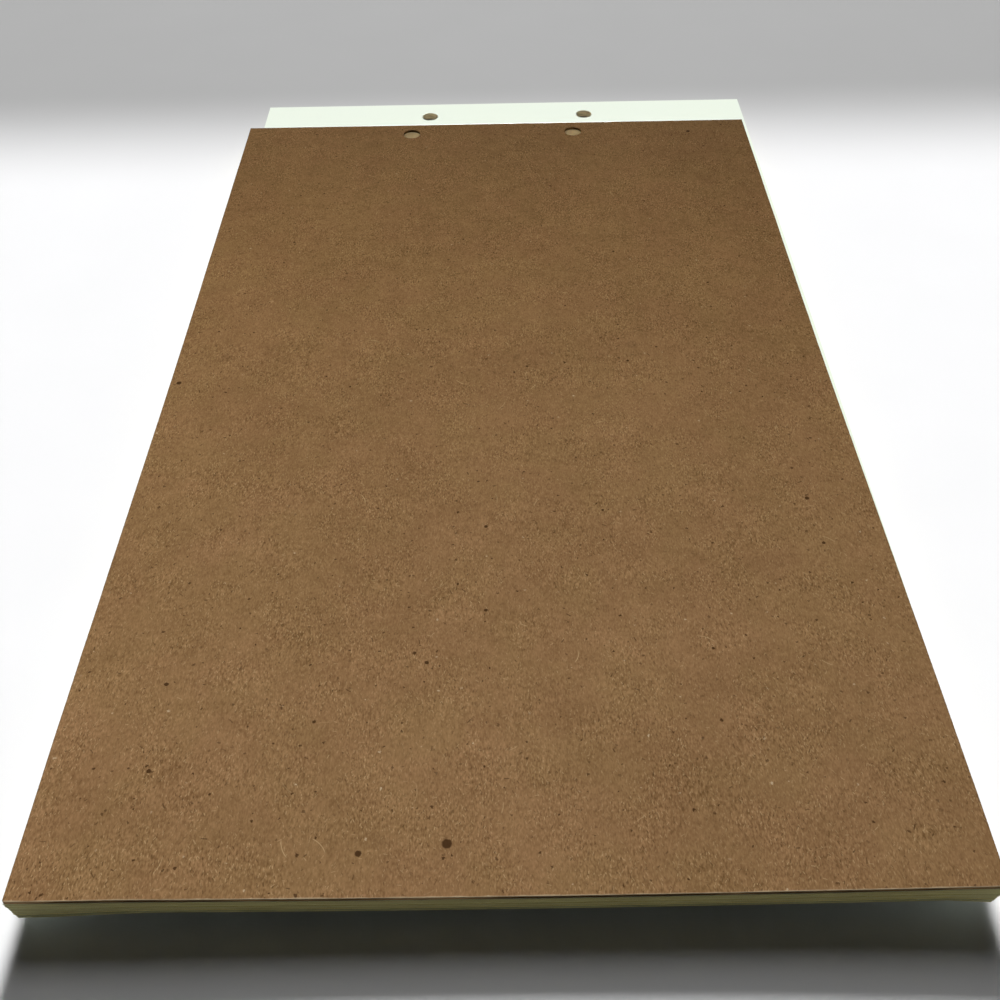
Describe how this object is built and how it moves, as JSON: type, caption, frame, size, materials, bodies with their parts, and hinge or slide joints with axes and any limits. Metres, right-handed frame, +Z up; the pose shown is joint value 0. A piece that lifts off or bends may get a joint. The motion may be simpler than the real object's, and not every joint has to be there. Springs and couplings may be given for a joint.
{
  "type": "columnar pad",
  "caption": "Legal-size columnar pad lying face down: punched chipboard back, gummed ruled sheets that open at the head, and loose front sheets that slide out past it.",
  "frame": {"origin": "on the surface that the pad lies on, below the middle of the backing board", "axes": "+X across the pad, +Y along it towards the gummed head, +Z up through the board's back"},
  "size_m": [0.2196, 0.3871, 0.0085],
  "materials": {
    "chipboard": "raw brown chipboard with fibres and specks, matte",
    "ledger_paper": "pale green ledger paper with ruled columns, matte",
    "gum": "dried white padding gum, satin"
  },
  "bodies": {
    "front_section": {"sheet_19": "ledger_paper", "sheet_20": "ledger_paper", "sheet_21": "ledger_paper", "sheet_22": "ledger_paper", "sheet_23": "ledger_paper", "sheet_24": "ledger_paper", "sheet_25": "ledger_paper", "sheet_26": "ledger_paper", "gum_strip_1": "gum"},
    "second_section": {"sheet_27": "ledger_paper", "sheet_28": "ledger_paper", "sheet_29": "ledger_paper", "sheet_30": "ledger_paper", "sheet_31": "ledger_paper", "sheet_32": "ledger_paper", "sheet_33": "ledger_paper", "sheet_34": "ledger_paper", "gum_strip_2": "gum"},
    "third_section": {"sheet_35": "ledger_paper", "sheet_36": "ledger_paper", "sheet_37": "ledger_paper", "sheet_38": "ledger_paper", "sheet_39": "ledger_paper", "sheet_40": "ledger_paper", "sheet_41": "ledger_paper", "sheet_42": "ledger_paper", "gum_strip_3": "gum"},
    "last_section": {"sheet_43": "ledger_paper", "sheet_44": "ledger_paper", "sheet_45": "ledger_paper", "sheet_46": "ledger_paper", "sheet_47": "ledger_paper", "sheet_48": "ledger_paper", "sheet_49": "ledger_paper", "sheet_50": "ledger_paper", "gum_strip_4": "gum"},
    "board": {"back_board": "chipboard", "gum_strip_5": "gum"},
    "loose_sheets": {"sheet_01": "ledger_paper", "sheet_02": "ledger_paper", "sheet_03": "ledger_paper", "sheet_04": "ledger_paper", "sheet_05": "ledger_paper", "sheet_06": "ledger_paper", "sheet_07": "ledger_paper", "sheet_08": "ledger_paper", "sheet_09": "ledger_paper", "sheet_10": "ledger_paper", "sheet_11": "ledger_paper", "sheet_12": "ledger_paper", "sheet_13": "ledger_paper", "sheet_14": "ledger_paper", "sheet_15": "ledger_paper", "sheet_16": "ledger_paper", "sheet_17": "ledger_paper", "sheet_18": "ledger_paper"}
  },
  "joints": [
    {"name": "second_section_turn", "type": "hinge", "parent": "front_section", "child": "second_section", "pos_m": [0, 0.1781, 0.0039], "axis": [-1, 0, 0], "range_deg": [0, 44]},
    {"name": "third_section_turn", "type": "hinge", "parent": "second_section", "child": "third_section", "pos_m": [0, 0.1781, 0.0051], "axis": [-1, 0, 0], "range_deg": [0, 44]},
    {"name": "last_section_turn", "type": "hinge", "parent": "third_section", "child": "last_section", "pos_m": [0, 0.1781, 0.0063], "axis": [-1, 0, 0], "range_deg": [0, 44]},
    {"name": "back_board_turn", "type": "hinge", "parent": "last_section", "child": "board", "pos_m": [0, 0.1781, 0.0075], "axis": [-1, 0, 0], "range_deg": [0, 44]},
    {"name": "loose_sheets_slide", "type": "slide", "parent": "front_section", "child": "loose_sheets", "axis": [0, 1, 0], "range_m": [-0.0315, 0.3]}
  ]
}
